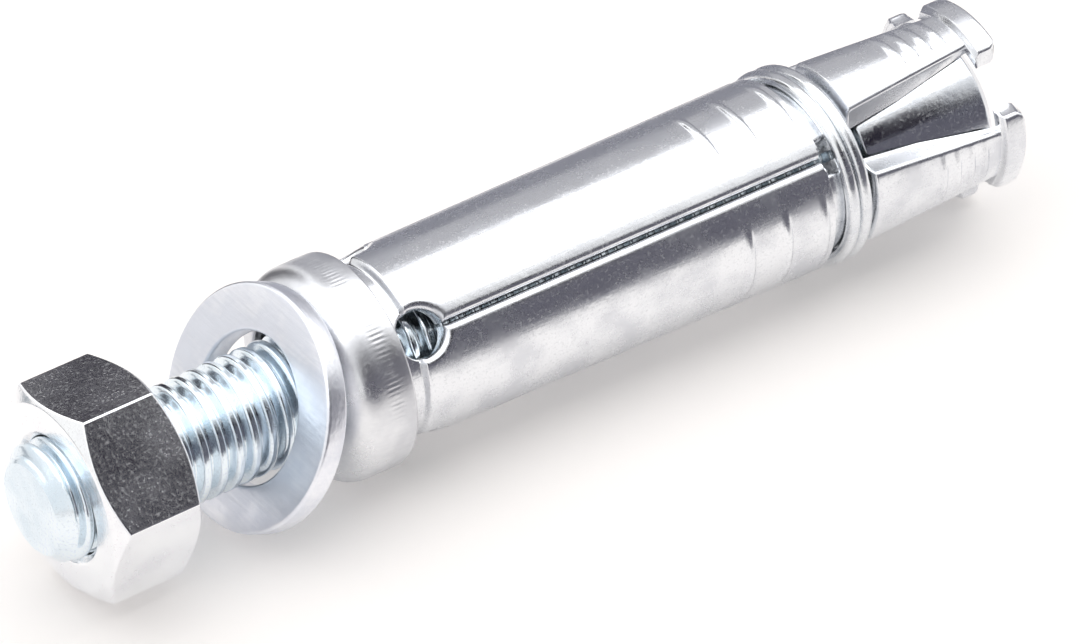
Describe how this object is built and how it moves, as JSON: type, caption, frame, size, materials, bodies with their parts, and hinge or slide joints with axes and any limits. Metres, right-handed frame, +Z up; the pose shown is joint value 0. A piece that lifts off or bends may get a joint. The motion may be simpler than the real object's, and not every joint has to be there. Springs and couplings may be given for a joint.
{
  "type": "shield anchor",
  "caption": "Projecting shield anchor: a threaded stud draws a tapered nut into pressed segments held by a domed ferrule and a wire ring.",
  "frame": {"origin": "middle of the anchor's bounding box at ground level", "axes": "+X along the anchor from its nut end to its expander end, +Z up with the anchor lying on its side"},
  "size_m": [0.0742, 0.016, 0.0151],
  "materials": {
    "stud_zinc": "bright zinc plated, rolled thread",
    "nut_zinc": "bright zinc plated, mirror-like flats with fine speckle",
    "washer_zinc": "zinc plated, satin faces",
    "ferrule_zinc": "zinc plated, drawn satin",
    "segment_zinc": "bright zinc plated, pressed",
    "ring_zinc": "bright zinc plated wire",
    "expander_zinc": "bright zinc plated, turned"
  },
  "bodies": {
    "shield": {"ferrule": "ferrule_zinc", "spring_ring": "ring_zinc"},
    "stud": {"stud": "stud_zinc", "expander_nut": "expander_zinc"},
    "nut": {"hex_nut": "nut_zinc"},
    "washer": {"washer": "washer_zinc"},
    "segment_top": {"segment_top": "segment_zinc"},
    "segment_rear": {"segment_rear": "segment_zinc"},
    "segment_bottom": {"segment_bottom": "segment_zinc"},
    "segment_front": {"segment_front": "segment_zinc"}
  },
  "joints": [
    {"name": "stud_draw", "type": "slide", "parent": "shield", "child": "stud", "axis": [-0.9999, -0.014, 0], "range_m": [0, 0.006], "deforming": ["spring_ring"]},
    {"name": "nut_travel", "type": "slide", "parent": "stud", "child": "nut", "axis": [0.9999, 0.014, 0], "range_m": [-0.005, 0.0026]},
    {"name": "washer_slide", "type": "slide", "parent": "shield", "child": "washer", "axis": [0.9999, 0.014, 0], "range_m": [-0.0016, 0]},
    {"name": "top_segment_spread", "type": "hinge", "parent": "shield", "child": "segment_top", "pos_m": [-0.0127, 0.00021, 0.01348], "axis": [0, -0.9969, -0.0785], "range_deg": [0, 1.07]},
    {"name": "rear_segment_spread", "type": "hinge", "parent": "shield", "child": "segment_rear", "pos_m": [-0.0127, 0.00666, 0.00797], "axis": [0, -0.0785, 0.9969], "range_deg": [0, 1.07]},
    {"name": "bottom_segment_spread", "type": "hinge", "parent": "shield", "child": "segment_bottom", "pos_m": [-0.0127, 0.00115, 0.00152], "axis": [0, 0.9969, 0.0785], "range_deg": [0, 1.07]},
    {"name": "front_segment_spread", "type": "hinge", "parent": "shield", "child": "segment_front", "pos_m": [-0.0127, -0.0053, 0.00703], "axis": [0, 0.0785, -0.9969], "range_deg": [0, 1.07]}
  ],
  "couplings": [
    {"joint": "top_segment_spread", "follows": "stud_draw", "rad_per_m": 3.1},
    {"joint": "rear_segment_spread", "follows": "stud_draw", "rad_per_m": 3.1},
    {"joint": "bottom_segment_spread", "follows": "stud_draw", "rad_per_m": 3.1},
    {"joint": "front_segment_spread", "follows": "stud_draw", "rad_per_m": 3.1}
  ]
}
